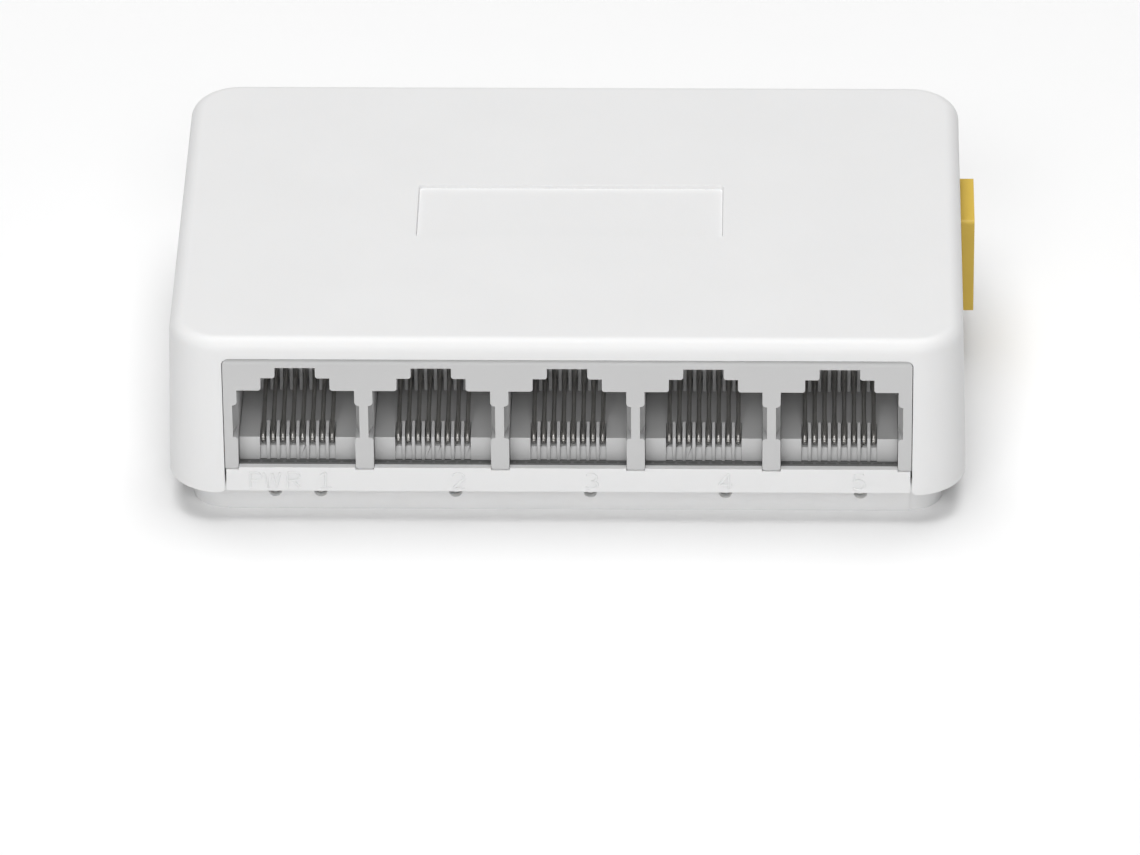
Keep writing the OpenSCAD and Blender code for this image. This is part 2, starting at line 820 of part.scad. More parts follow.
module board_screws() {
    color([0.6, 0.6, 0.62])
        for (p = board_screw_at)
            translate([p[0], p[1], board_z])
                screw(0.8, 1.8, 1.2, 4.4);
}

module case_screws() {
    color([0.6, 0.6, 0.62])
        for (p = boss_at)
            translate([p[0], p[1], 2.4])
                rotate([180, 0, 0])
                    screw(1.05, 2.1, 1.4, 8);
}

top_cover();
base_tray();
circuit_board();
jack_housing();
for (i = [0:ports - 1]) {
    contact_insert(i);
    contact_springs(i);
    contact_leads(i);
    magnetics(i);
}
dc_socket_body();
dc_centre_pin();
dc_sleeve_spring();
dc_sleeve_tail();
dc_switch_contact();
magnetics_leads();
switch_chip();
switch_chip_leads();
crystal_can();
input_capacitor();
output_capacitor();
power_inductor();
buck_regulator();
polarity_diode();
chip_resistors();
chip_capacitors();
status_lamps();
lamp_leads();
board_screws();
case_screws();
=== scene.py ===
import bpy
import numpy as np
from math import cos, pi, radians, sin, tan
from mathutils import Matrix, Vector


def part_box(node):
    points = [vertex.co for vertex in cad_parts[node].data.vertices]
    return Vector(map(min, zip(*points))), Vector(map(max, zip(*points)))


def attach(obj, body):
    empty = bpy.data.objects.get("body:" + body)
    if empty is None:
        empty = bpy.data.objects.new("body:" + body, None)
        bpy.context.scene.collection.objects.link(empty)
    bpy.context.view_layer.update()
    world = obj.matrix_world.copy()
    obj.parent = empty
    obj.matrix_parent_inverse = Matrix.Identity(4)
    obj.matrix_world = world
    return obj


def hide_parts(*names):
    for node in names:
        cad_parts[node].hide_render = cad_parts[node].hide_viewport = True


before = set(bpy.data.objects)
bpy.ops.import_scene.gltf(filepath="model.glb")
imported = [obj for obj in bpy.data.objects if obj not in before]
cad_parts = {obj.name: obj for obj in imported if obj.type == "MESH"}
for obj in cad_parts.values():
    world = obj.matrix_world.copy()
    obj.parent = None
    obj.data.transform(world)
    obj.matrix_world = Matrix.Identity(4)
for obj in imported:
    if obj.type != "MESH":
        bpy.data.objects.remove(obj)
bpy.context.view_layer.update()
mm = 0.001
print("frame loaded,", len(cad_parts), "nodes")


# Mesh helpers
def newPiece(name, verts, faces, body="case"):
    mesh = bpy.data.meshes.new(name)
    mesh.from_pydata([tuple(v) for v in np.asarray(verts, float).tolist()], [], faces)
    mesh.validate()
    mesh.shade_smooth()
    piece = bpy.data.objects.new(name, mesh)
    bpy.context.scene.collection.objects.link(piece)
    if body:
        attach(piece, body)
    return piece


# Quads between neighbouring rows of a grid of points whose columns close on themselves;
# the first and last rows are closed by one flat face each when capped
def ringFaces(rows, cols, capped=True, start=0):
    r, c = np.meshgrid(np.arange(rows - 1), np.arange(cols), indexing="ij")
    d = (c + 1) % cols
    quads = np.stack([r * cols + c, r * cols + d, (r + 1) * cols + d, (r + 1) * cols + c], -1)
    faces = (quads.reshape(-1, 4) + start).tolist()
    if capped:
        faces.append((np.arange(cols)[::-1] + start).tolist())
        faces.append((np.arange(cols) + (rows - 1) * cols + start).tolist())
    return faces


def outward(piece):
    import bmesh
    bm = bmesh.new()
    bm.from_mesh(piece.data)
    bmesh.ops.recalc_face_normals(bm, faces=bm.faces)
    bm.to_mesh(piece.data)
    bm.free()
    return piece


# Rounded rectangle w by d with corner radius r: four arcs of n steps, counter-clockwise
def roundedRect(w, d, r, n=20):
    a = np.linspace(0, pi / 2, n + 1)
    arcs = []
    for k, (sx, sy) in enumerate([(1, 1), (-1, 1), (-1, -1), (1, -1)]):
        arcs.append(np.stack([sx * (w / 2 - r) + r * np.cos(a + k * pi / 2),
                              sy * (d / 2 - r) + r * np.sin(a + k * pi / 2)], -1))
    return np.concatenate(arcs)


# Outline carried straight along an axis: the same closed outline at each station
def prism(name, outline, low, high, across="y", body=None):
    p = np.asarray(outline, float)
    rows = []
    for s in (low, high):
        flat = np.full(len(p), s)
        rows.append({"x": np.stack([flat, p[:, 0], p[:, 1]], -1),
                     "y": np.stack([p[:, 0], flat, p[:, 1]], -1),
                     "z": np.stack([p[:, 0], p[:, 1], flat], -1)}[across])
    verts = np.concatenate(rows) * mm
    return outward(newPiece(name, verts, ringFaces(2, len(p)), body))


def cutBy(piece, cutter):
    mod = piece.modifiers.new("cut", "BOOLEAN")
    mod.operation = "DIFFERENCE"
    mod.solver = "EXACT"
    mod.object = cutter
    applyAll(piece)
    bpy.data.objects.remove(cutter)


def applyAll(piece):
    deps = bpy.context.evaluated_depsgraph_get()
    done = bpy.data.meshes.new_from_object(piece.evaluated_get(deps))
    piece.modifiers.clear()
    piece.data = done


def softEdges(piece, width, segments=3, angle=32):
    bevel = piece.modifiers.new("edges", "BEVEL")
    bevel.width = width * mm
    bevel.segments = segments
    bevel.limit_method = "ANGLE"
    bevel.angle_limit = radians(angle)
    bevel.miter_outer = "MITER_ARC"
    bevel.harden_normals = False
    weigh = piece.modifiers.new("shading", "WEIGHTED_NORMAL")
    weigh.keep_sharp = True
    weigh.weight = 60


# A merged copy of a CAD node whose flat faces are whole again, so that its edges can be rounded
def roundedCopy(node, name, width, segments=3, body="case", cutter=None):
    import bmesh
    bm = bmesh.new()
    bm.from_mesh(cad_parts[node].data)
    bmesh.ops.remove_doubles(bm, verts=bm.verts, dist=2e-6)
    bmesh.ops.dissolve_limit(bm, angle_limit=radians(0.6), verts=bm.verts, edges=bm.edges)
    mesh = bpy.data.meshes.new(name)
    bm.to_mesh(mesh)
    bm.free()
    mesh.shade_smooth()
    mesh.materials.clear()
    piece = bpy.data.objects.new(name, mesh)
    bpy.context.scene.collection.objects.link(piece)
    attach(piece, body)
    if cutter:
        cutBy(piece, cutter)
    softEdges(piece, width, segments)
    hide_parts(node)
    return piece


def finish(piece, material):
    piece.data.materials.clear()
    piece.data.materials.append(material)
    return piece


# Shader helpers
def nodeAt(tree, kind, x, y, **values):
    n = tree.nodes.new(kind)
    n.location = (x, y)
    for key, value in values.items():
        setattr(n, key, value)
    return n


def newGroup(name, inputs, outputs):
    g = bpy.data.node_groups.new(name, "ShaderNodeTree")
    for label, kind, value in inputs:
        s = g.interface.new_socket(label, in_out="INPUT", socket_type=kind)
        if value is not None:
            s.default_value = value
    for label, kind in outputs:
        g.interface.new_socket(label, in_out="OUTPUT", socket_type=kind)
    return g, nodeAt(g, "NodeGroupInput", -900, 0), nodeAt(g, "NodeGroupOutput", 900, 0)


def ramp(tree, x, y, low, high, link, spread=(0.0, 1.0)):
    n = nodeAt(tree, "ShaderNodeMapRange", x, y)
    n.inputs["From Min"].default_value, n.inputs["From Max"].default_value = spread
    n.inputs["To Min"].default_value, n.inputs["To Max"].default_value = low, high
    tree.links.new(link, n.inputs["Value"])
    return n.outputs["Result"]


# Moulded grain: fine noise for the spark-eroded skin and slow noise for the colour's drift
def buildMouldGroup():
    g, gin, gout = newGroup(
        "mouldedSkin",
        [("Colour", "NodeSocketColor", (0.8, 0.8, 0.8, 1)), ("Grain Scale", "NodeSocketFloat", 9000),
         ("Grain Depth", "NodeSocketFloat", 1.0), ("Tint", "NodeSocketFloat", 0.03),
         ("Rough", "NodeSocketFloat", 0.45)],
        [("Colour", "NodeSocketColor"), ("Roughness", "NodeSocketFloat"), ("Height", "NodeSocketFloat")])
    coord = nodeAt(g, "ShaderNodeTexCoord", -900, 300)
    fine = nodeAt(g, "ShaderNodeTexNoise", -600, 200)
    fine.inputs["Detail"].default_value = 3
    fine.inputs["Roughness"].default_value = 0.6
    g.links.new(coord.outputs["Object"], fine.inputs["Vector"])
    g.links.new(gin.outputs["Grain Scale"], fine.inputs["Scale"])
    slow = nodeAt(g, "ShaderNodeTexNoise", -600, -100)
    slow.inputs["Scale"].default_value = 90
    slow.inputs["Detail"].default_value = 4
    g.links.new(coord.outputs["Object"], slow.inputs["Vector"])
    half = nodeAt(g, "ShaderNodeMath", -400, -100, operation="SUBTRACT")
    half.inputs[1].default_value = 0.5
    g.links.new(slow.outputs["Fac"], half.inputs[0])
    shift = nodeAt(g, "ShaderNodeMath", -200, -100, operation="MULTIPLY_ADD")
    g.links.new(half.outputs[0], shift.inputs[0])
    g.links.new(gin.outputs["Tint"], shift.inputs[1])
    shift.inputs[2].default_value = 1.0
    tone = nodeAt(g, "ShaderNodeMix", 100, 0, data_type="RGBA", blend_type="MULTIPLY")
    tone.inputs["Factor"].default_value = 1.0
    g.links.new(gin.outputs["Colour"], tone.inputs["A"])
    grey = nodeAt(g, "ShaderNodeCombineColor", -50, -150)
    for c in ("Red", "Green", "Blue"):
        g.links.new(shift.outputs[0], grey.inputs[c])
    g.links.new(grey.outputs["Color"], tone.inputs["B"])
    g.links.new(tone.outputs["Result"], gout.inputs["Colour"])
    rough = nodeAt(g, "ShaderNodeMath", 100, -300, operation="MULTIPLY_ADD")
    g.links.new(half.outputs[0], rough.inputs[0])
    rough.inputs[1].default_value = 0.12
    g.links.new(gin.outputs["Rough"], rough.inputs[2])
    g.links.new(rough.outputs[0], gout.inputs["Roughness"])
    deep = nodeAt(g, "ShaderNodeMath", 100, 300, operation="MULTIPLY")
    g.links.new(fine.outputs["Fac"], deep.inputs[0])
    g.links.new(gin.outputs["Grain Depth"], deep.inputs[1])
    g.links.new(deep.outputs[0], gout.inputs["Height"])
    return g


# Drawn or rolled metal: streaks along X and faint blotches
def buildMetalGroup():
    g, gin, gout = newGroup(
        "drawnMetal",
        [("Colour", "NodeSocketColor", (0.7, 0.7, 0.7, 1)), ("Dull", "NodeSocketColor", (0.4, 0.4, 0.4, 1)),
         ("Streak", "NodeSocketFloat", 6000), ("Rough", "NodeSocketFloat", 0.2)],
        [("Colour", "NodeSocketColor"), ("Roughness", "NodeSocketFloat"), ("Height", "NodeSocketFloat")])
    coord = nodeAt(g, "ShaderNodeTexCoord", -900, 300)
    stretch = nodeAt(g, "ShaderNodeMapping", -700, 300)
    stretch.inputs["Scale"].default_value = (1.0, 0.12, 0.12)
    g.links.new(coord.outputs["Object"], stretch.inputs["Vector"])
    streak = nodeAt(g, "ShaderNodeTexNoise", -500, 300)
    g.links.new(stretch.outputs["Vector"], streak.inputs["Vector"])
    g.links.new(gin.outputs["Streak"], streak.inputs["Scale"])
    blot = nodeAt(g, "ShaderNodeTexNoise", -500, 0)
    blot.inputs["Scale"].default_value = 700
    blot.inputs["Detail"].default_value = 5
    g.links.new(coord.outputs["Object"], blot.inputs["Vector"])
    mask = ramp(g, -300, 0, 0.0, 0.6, blot.outputs["Fac"], (0.45, 0.75))
    tone = nodeAt(g, "ShaderNodeMix", 100, 0, data_type="RGBA")
    g.links.new(mask, tone.inputs["Factor"])
    g.links.new(gin.outputs["Colour"], tone.inputs["A"])
    g.links.new(gin.outputs["Dull"], tone.inputs["B"])
    g.links.new(tone.outputs["Result"], gout.inputs["Colour"])
    rough = nodeAt(g, "ShaderNodeMath", 100, -300, operation="MULTIPLY_ADD")
    g.links.new(streak.outputs["Fac"], rough.inputs[0])
    rough.inputs[1].default_value = 0.14
    g.links.new(gin.outputs["Rough"], rough.inputs[2])
    g.links.new(rough.outputs[0], gout.inputs["Roughness"])
    g.links.new(streak.outputs["Fac"], gout.inputs["Height"])
    return g


def newMaterial(name):
    m = bpy.data.materials.new(name)
    m.use_nodes = True
    t = m.node_tree
    return m, t, t.nodes["Principled BSDF"]


def bumpInto(t, bsdf, height, distance, strength=1.0):
    b = nodeAt(t, "ShaderNodeBump", -150, -300)
    b.inputs["Distance"].default_value = distance
    b.inputs["Strength"].default_value = strength
    t.links.new(height, b.inputs["Height"])
    t.links.new(b.outputs["Normal"], bsdf.inputs["Normal"])


# A moulded plastic: s gives colour, grain, roughness and how deep the light goes in
def plastic(name, s):
    m, t, bsdf = newMaterial(name)
    g = nodeAt(t, "ShaderNodeGroup", -450, 0)
    g.node_tree = mouldGroup
    g.inputs["Colour"].default_value = (*s["colour"], 1)
    g.inputs["Grain Scale"].default_value = s["grain"]
    g.inputs["Tint"].default_value = s["tint"]
    g.inputs["Rough"].default_value = s["rough"]
    t.links.new(g.outputs["Colour"], bsdf.inputs["Base Color"])
    t.links.new(g.outputs["Roughness"], bsdf.inputs["Roughness"])
    bumpInto(t, bsdf, g.outputs["Height"], s["depth"])
    bsdf.inputs["IOR"].default_value = s.get("ior", 1.46)
    if s.get("inner"):
        bsdf.inputs["Subsurface Weight"].default_value = s["inner"]
        bsdf.inputs["Subsurface Radius"].default_value = (0.0012, 0.0011, 0.001)
        bsdf.inputs["Subsurface Scale"].default_value = 0.6
    return m


def metal(name, s):
    m, t, bsdf = newMaterial(name)
    g = nodeAt(t, "ShaderNodeGroup", -450, 0)
    g.node_tree = metalGroup
    g.inputs["Colour"].default_value = (*s["colour"], 1)
    g.inputs["Dull"].default_value = (*s["dull"], 1)
    g.inputs["Streak"].default_value = s["streak"]
    g.inputs["Rough"].default_value = s["rough"]
    t.links.new(g.outputs["Colour"], bsdf.inputs["Base Color"])
    t.links.new(g.outputs["Roughness"], bsdf.inputs["Roughness"])
    bumpInto(t, bsdf, g.outputs["Height"], s["depth"], 0.4)
    bsdf.inputs["Metallic"].default_value = 1.0
    return m


mouldGroup = buildMouldGroup()
metalGroup = buildMetalGroup()

caseWhite = plastic("caseWhite", {"colour": (0.80, 0.80, 0.80), "grain": 5200, "tint": 0.03,
                                  "rough": 0.45, "depth": 0.000012, "inner": 0.15})
socketGrey = plastic("socketGrey", {"colour": (0.56, 0.56, 0.56), "grain": 4000, "tint": 0.05,
                                    "rough": 0.48, "depth": 0.000008})
# A lighter copy of the socket grey for the port floors: painted light that offsets the shade falling on
# them inside the ports
insertGreyPaintedLight = plastic("insertGreyPaintedLight", {"colour": (0.62, 0.62, 0.62), "grain": 4000, "tint": 0.05,
                                    "rough": 0.48, "depth": 0.000008})
socketYellow = plastic("socketYellow", {"colour": (0.65, 0.45, 0.068), "grain": 4200, "tint": 0.12,
                                        "rough": 0.45, "depth": 0.00001})
packageBlack = plastic("packageBlack", {"colour": (0.022, 0.022, 0.024), "grain": 6000, "tint": 0.4,
                                        "rough": 0.62, "depth": 0.00001})
ferriteGrey = plastic("ferriteGrey", {"colour": (0.05, 0.05, 0.055), "grain": 3000, "tint": 0.5,
                                      "rough": 0.7, "depth": 0.00003})
ceramicTan = plastic("ceramicTan", {"colour": (0.36, 0.23, 0.12), "grain": 3500, "tint": 0.3,
                                    "rough": 0.5, "depth": 0.00001})
sleeveBlue = plastic("sleeveBlue", {"colour": (0.012, 0.016, 0.04), "grain": 1500, "tint": 0.3,
                                    "rough": 0.3, "depth": 0.000005})
lampResin = plastic("lampResin", {"colour": (0.8, 0.8, 0.78), "grain": 2500, "tint": 0.1,
                                  "rough": 0.2, "depth": 0.000003, "inner": 0.4})
springPlate = metal("springPlate", {"colour": (0.46, 0.45, 0.43), "dull": (0.34, 0.33, 0.32), "streak": 400,
                                    "rough": 0.28, "depth": 0.0000001})
wirePlate = metal("wirePlate", {"colour": (0.78, 0.77, 0.75), "dull": (0.5, 0.49, 0.47), "streak": 9000,
                                "rough": 0.16, "depth": 0.000004})
tinPlate = metal("tinPlate", {"colour": (0.66, 0.66, 0.67), "dull": (0.42, 0.42, 0.43), "streak": 5000,
                              "rough": 0.34, "depth": 0.000006})
zincSteel = metal("zincSteel", {"colour": (0.55, 0.55, 0.57), "dull": (0.35, 0.35, 0.37), "streak": 4000,
                                "rough": 0.3, "depth": 0.000006})


# Solder resist over copper: tracks from a brick pattern show as faint steps
def buildBoardMaterial():
    s = {"resist": (0.13, 0.132, 0.13, 1), "copper": (0.19, 0.192, 0.19, 1), "track": 420}
    m, t, bsdf = newMaterial("boardResist")
    coord = nodeAt(t, "ShaderNodeTexCoord", -900, 0)
    tracks = nodeAt(t, "ShaderNodeTexBrick", -650, 0)
    tracks.inputs["Scale"].default_value = s["track"]
    tracks.inputs["Mortar Size"].default_value = 0.06
    tracks.inputs["Color1"].default_value = s["resist"]
    tracks.inputs["Color2"].default_value = s["resist"]
    tracks.inputs["Mortar"].default_value = s["copper"]
    t.links.new(coord.outputs["Object"], tracks.inputs["Vector"])
    weave = nodeAt(t, "ShaderNodeTexNoise", -650, -300)
    weave.inputs["Scale"].default_value = 2500
    t.links.new(coord.outputs["Object"], weave.inputs["Vector"])
    t.links.new(tracks.outputs["Color"], bsdf.inputs["Base Color"])
    rough = ramp(t, -400, -300, 0.25, 0.42, weave.outputs["Fac"])
    t.links.new(rough, bsdf.inputs["Roughness"])
    bumpInto(t, bsdf, tracks.outputs["Fac"], 0.00003, 0.5)
    return m


boardResist = buildBoardMaterial()
print("materials built")


# The cover
case = {"low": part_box("top_cover")[0][2] / mm, "high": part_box("top_cover")[1][2] / mm,
        "wide": (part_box("top_cover")[1][0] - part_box("top_cover")[0][0]) / mm,
        "deep": (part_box("top_cover")[1][1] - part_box("top_cover")[0][1]) / mm,
        "corner": 5.5, "top": 1.5, "lean": tan(radians(1.4)), "wall": 1.6, "steps": 24,
        "inside": 0.5, "under": 1.0, "edges": 0.14}


# The cover is one closed skin: a profile of (inset, height) points carried round a rounded
# rectangle, where each point of the profile shrinks the rectangle by its inset
def buildCover():
    c = case
    lean, tall = c["lean"], c["high"] - c["low"]
    wallNormal = np.arctan(lean)
    a = np.linspace(pi / 2, wallNormal, 13)
    middle = (tall - c["top"]) * lean + c["top"] / cos(wallNormal)
    outer = np.stack([middle - c["top"] * np.cos(a), c["high"] - c["top"] + c["top"] * np.sin(a)], -1)
    innerTop = c["high"] - c["wall"]
    b = np.linspace(wallNormal, pi / 2, 5)
    r = c["inside"]
    innerMiddle = c["wall"] + (tall + c["under"] - c["wall"] - r) * lean + r / cos(wallNormal)
    inner = np.stack([innerMiddle - r * np.cos(b), innerTop - r + r * np.sin(b)], -1)
    profile = np.concatenate([outer, [[0.0, c["low"]], [c["wall"] + lean, c["low"]]], inner])
    rows = []
    for inset, z in profile:
        ring = roundedRect(c["wide"] - 2 * inset, c["deep"] - 2 * inset, max(c["corner"] - inset, 0.4),
                           c["steps"])
        rows.append(np.concatenate([ring, np.full((len(ring), 1), z)], 1))
    verts = np.concatenate(rows) * mm
    return outward(newPiece("coverShell", verts, ringFaces(len(rows), len(rows[0]))))


# Outline of a wall opening: up one side, over two rounded shoulders and down the other side,
# flaring out along a quarter circle at each foot
def openingOutline(mid, wide, low, top, r, flare, n=10):
    a = np.linspace(0, pi / 2, n + 1)
    half = wide / 2
    foot = np.stack([half + flare - flare * np.sin(a), low + flare - flare * np.cos(a)], -1)
    shoulder = np.stack([half - r + r * np.cos(a), top - r + r * np.sin(a)], -1)
    right = np.concatenate([[[half + flare, low - 1]], foot, shoulder])
    left = right[::-1] * [-1, 1]
    return np.concatenate([right, left]) + [mid, 0]


mouth = {"mid": 0.2, "wide": 70.91, "top": 19.75, "r": 0.75, "flare": 0.6}
cutDepth = {"outside": 1.0, "inside": 3.2}  # how far the openings' cutters reach past the walls
sideHole = {"mid": 9.8, "wide": 9.3, "top": 17.5, "r": 0.5, "flare": 0.4}
panel = {"wide": 31.9, "deep": 10.2, "midY": -0.15, "sunk": 0.35, "slope": 0.12,
         "corner": 0.35, "growAbove": 1.2, "above": 0.9}


# Frustum whose top ring is wider than its floor by the slope of the panel's walls
def panelCutter():
    p = panel
    rows = []
    for grow, z in ((-p["slope"] / 2, -p["sunk"]), (p["slope"] * p["growAbove"], p["sunk"] * p["above"])):
        ring = roundedRect(p["wide"] + 2 * grow, p["deep"] + 2 * grow, p["corner"], 4)
        rows.append(np.concatenate([ring + [0, p["midY"]], np.full((len(ring), 1), case["high"] + z)], 1))
    return outward(newPiece("panelCutter", np.concatenate(rows) * mm, ringFaces(2, len(rows[0])), None))


cover = buildCover()
frontY = -case["deep"] / 2
sideX = case["wide"] / 2


def openingOf(o):
    return openingOutline(o["mid"], o["wide"], case["low"], o["top"], o["r"], o["flare"])


cutBy(cover, prism("mouthCutter", openingOf(mouth), frontY - cutDepth["outside"],
                   frontY + cutDepth["inside"]))
cutBy(cover, prism("sideCutter", openingOf(sideHole), sideX - cutDepth["inside"],
                   sideX + cutDepth["outside"], "x"))
cutBy(cover, panelCutter())
softEdges(cover, case["edges"])
finish(cover, caseWhite)
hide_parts("top_cover")
print("cover built,", len(cover.data.polygons), "faces")

# Tray, block, inserts, power socket
finish(roundedCopy("base_tray", "trayBody", 0.08), caseWhite)
# Rounded corners of the port profile: distance from the port's middle, height, side on which
# the solid lies in Z, then stations along Y with the radius at each
profile = {"first": 0.2 - 2 * 13.97, "pitch": 13.97, "face": -26.3, "spare": 0.08,
           "corners": ((2.075, 17.5, 1, ((-1, 0.28), (8.95, 0.28))),
                       (3.55, 16.0, 1, ((-1, 0.3), (8.95, 0.3))),
                       (6.05, 14.17, 1, ((-1, 0.45), (0.95, 0.45), (2.55, 0.03))),
                       (6.05, 10.31, -1, ((-1, 0.32), (1.4, 0.32), (2.55, 0.03))),
                       (6.05, 6.5, 1, ((-1, 0.3), (6, 0.3))))}


# What is cut off a square corner to leave a quarter circle, carried along Y with a changing radius
def cornerCutter():
    verts, faces, start = [], [], 0
    e = profile["spare"]
    a = np.linspace(pi / 2, 0, 7)
    for i in range(5):
        for sx in (-1, 1):
            for x0, z0, sz, stations in profile["corners"]:
                rows = []
                for y, r in stations:
                    curve = np.stack([r - r * np.cos(a), r - r * np.sin(a)], -1)
                    off = np.concatenate([[[-e, -e], [r, -e]], curve, [[-e, r]]])
                    x = profile["first"] + profile["pitch"] * i + sx * (x0 + off[:, 0])
                    ys = np.full(len(off), profile["face"] + y)
                    rows.append(np.stack([x, ys, z0 + sz * off[:, 1]], -1))
                grid = np.stack(rows)
                faces += ringFaces(grid.shape[0], grid.shape[1], True, start)
                verts.append(grid.reshape(-1, 3))
                start += grid.shape[0] * grid.shape[1]
    return outward(newPiece("cornerCutter", np.concatenate(verts) * mm, faces, None))


finish(roundedCopy("jack_housing", "socketBlock", 0.09, cutter=cornerCutter()), socketGrey)
comb = {"pitch": 1.016, "slot": 0.68, "low": 6.2, "high": 7.95, "shallow": 0.1, "deep": 0.6}


# Eight wedges that set the comb's lower bar back between its teeth, deeper towards the top
def combCutter(node):
    c = comb
    low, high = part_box(node)
    mid, face = (low[0] + high[0]) / 2 / mm, low[1] / mm
    side = np.array([[face - 1, c["low"]], [face + c["shallow"], c["low"]], [face + c["deep"], c["high"]],
                     [face - 1, c["high"]]])
    verts, faces = [], []
    for k in range(8):
        for n, x in enumerate((mid + (k - 3.5) * c["pitch"] - c["slot"] / 2,
                               mid + (k - 3.5) * c["pitch"] + c["slot"] / 2)):
            verts.append(np.concatenate([np.full((4, 1), x), side], 1))
        faces += ringFaces(2, 4, True, 8 * k)
    return outward(newPiece("combCutter", np.concatenate(verts) * mm, faces, None))


for i in range(1, 6):
    node = f"contact_insert_{i}"
    finish(roundedCopy(node, f"portFloor{i}", 0.05, 2, cutter=combCutter(node)), insertGreyPaintedLight)
finish(roundedCopy("dc_socket_body", "powerHousing", 0.3, 4), socketYellow)
print("moulded pieces rounded")


# Contact wires
wire = {"pitch": 1.016, "radius": 0.23, "bend": 0.5, "bendY": -23.65, "bendZ": 8.9, "slope": 17.0,
        "arm": 10.9, "downY": -21.95, "runZ": 6.75, "turn": 0.4, "tailZ": 3.55,
        "rows": (-16.4, -13.86), "around": 14}


# Round wire: a circle carried along a path in the YZ plane, turned to stay square to it
def wireGrid(path, x, radius, around):
    p = np.asarray(path, float)
    step = np.gradient(p, axis=0)
    along = step / np.linalg.norm(step, axis=1, keepdims=True)
    up = np.stack([-along[:, 1], along[:, 0]], -1)
    r = np.full(len(p), radius)
    a = np.linspace(0, 2 * pi, around, endpoint=False)
    y = p[:, :1] + up[:, :1] * r[:, None] * np.sin(a)
    z = p[:, 1:] + up[:, 1:] * r[:, None] * np.sin(a)
    xs = x + np.zeros_like(y) + r[:, None] * np.cos(a)
    return np.stack([xs, y, z], -1)


def arcPath(cy, cz, r, a0, a1, n):
    a = np.radians(np.linspace(a0, a1, n))
    return np.stack([cy + r * np.cos(a), cz + r * np.sin(a)], -1)


def rowOfWires(name, paths, xs, body):
    verts, faces, start = [], [], 0
    for path, x in zip(paths, xs):
        grid = wireGrid(path, x, wire["radius"], wire["around"])
        faces += ringFaces(grid.shape[0], grid.shape[1], True, start)
        verts.append(grid.reshape(-1, 3))
        start += grid.shape[0] * grid.shape[1]
    piece = outward(newPiece(name, np.concatenate(verts) * mm, faces, body))
    return finish(piece, springPlate)


def armPath():
    w = wire
    s = radians(w["slope"])
    bend = arcPath(w["bendY"], w["bendZ"], w["bend"], 180, 90 + w["slope"], 12)
    dist = np.linspace(0.3, w["arm"], 14)[:, None]
    top = np.array([w["bendY"] - w["bend"] * sin(s), w["bendZ"] + w["bend"] * cos(s)])
    return np.concatenate([bend, top + dist * np.array([cos(s), sin(s)])])


def leadPath(row):
    w = wire
    shelf = w["bendZ"] - w["bend"]
    bend = arcPath(w["bendY"], w["bendZ"], w["bend"], 182.3, 270, 9)
    turn = arcPath(w["downY"] - w["turn"], shelf - w["turn"], w["turn"], 90, 0, 8)
    foot = arcPath(w["downY"] + w["turn"], w["runZ"] + w["turn"], w["turn"], 180, 270, 8)
    back = arcPath(row - w["turn"], w["runZ"] - w["turn"], w["turn"], 90, 0, 8)
    tail = np.array([[row, w["tailZ"] + 1.5], [row, w["tailZ"]]])
    return np.concatenate([bend, turn, foot, back, tail])


for i in range(5):
    node = f"contact_springs_{i + 1}"
    low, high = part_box(node)
    mid = (low[0] + high[0]) / 2 / mm
    xs = [mid + (k - 3.5) * wire["pitch"] for k in range(8)]
    springs = rowOfWires(f"springWires{i + 1}", [armPath()] * 8, xs, f"port_springs_{i + 1}")
    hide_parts(node)
    leads = rowOfWires(f"fixedWires{i + 1}", [leadPath(wire["rows"][k % 2]) for k in range(8)], xs, "case")
    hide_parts(f"contact_leads_{i + 1}")
print("contact wires built")


# Raised labels on the lip
label = {"low": 4.28, "high": 6.12, "width": 0.28, "lift": 0.098, "faceY": frontY + 0.1, "first": -24.9,
         "step": 13.77, "wide": 1.3, "spacing": 0.06, "square": 0.8, "root": 0.1, "ends": (0.45, 0.85),
         "power": (("P", -32.635, 1.115), ("W", -31.225, 1.545), ("R", -28.775, 1.27))}


# Strokes of each sign as points in a box 1 wide and 1 high; arcs come from a formula
def arc(cx, cy, rx, ry, a0, a1, n=14):
    a = np.radians(np.linspace(a0, a1, n))
    return np.stack([cx + rx * np.cos(a), cy + ry * np.sin(a)], -1)


def signStrokes():
    line = lambda *p: np.array(p, float)
    two = np.concatenate([arc(0.5, 0.7, 0.45, 0.3, 165, -20), [[0.05, 0.0], [1.0, 0.0]]])
    three = np.concatenate([arc(0.45, 0.75, 0.42, 0.25, 150, -80), arc(0.45, 0.26, 0.5, 0.26, 85, -150)])
    five = np.concatenate([[[0.9, 1.0], [0.2, 1.0], [0.12, 0.55]], arc(0.47, 0.32, 0.47, 0.32, 125, -150)])
    bowl = np.concatenate([[[0, 1]], arc(0.55, 0.74, 0.4, 0.26, 90, -90), [[0, 0.48]]])
    return {"1": [line((0.1, 0.8), (0.55, 1), (0.55, 0)), line((0.1, 0), (1, 0))],
            "2": [two], "3": [three],
            "4": [line((0.75, 0), (0.75, 1), (0.0, 0.3), (1.05, 0.3))],
            "5": [five],
            "P": [line((0, 0), (0, 1)), bowl],
            "W": [line((0, 1), (0.27, 0), (0.55, 0.95), (0.83, 0), (1.1, 1))],
            "R": [line((0, 0), (0, 1)), bowl, line((0.5, 0.48), (1, 0))]}


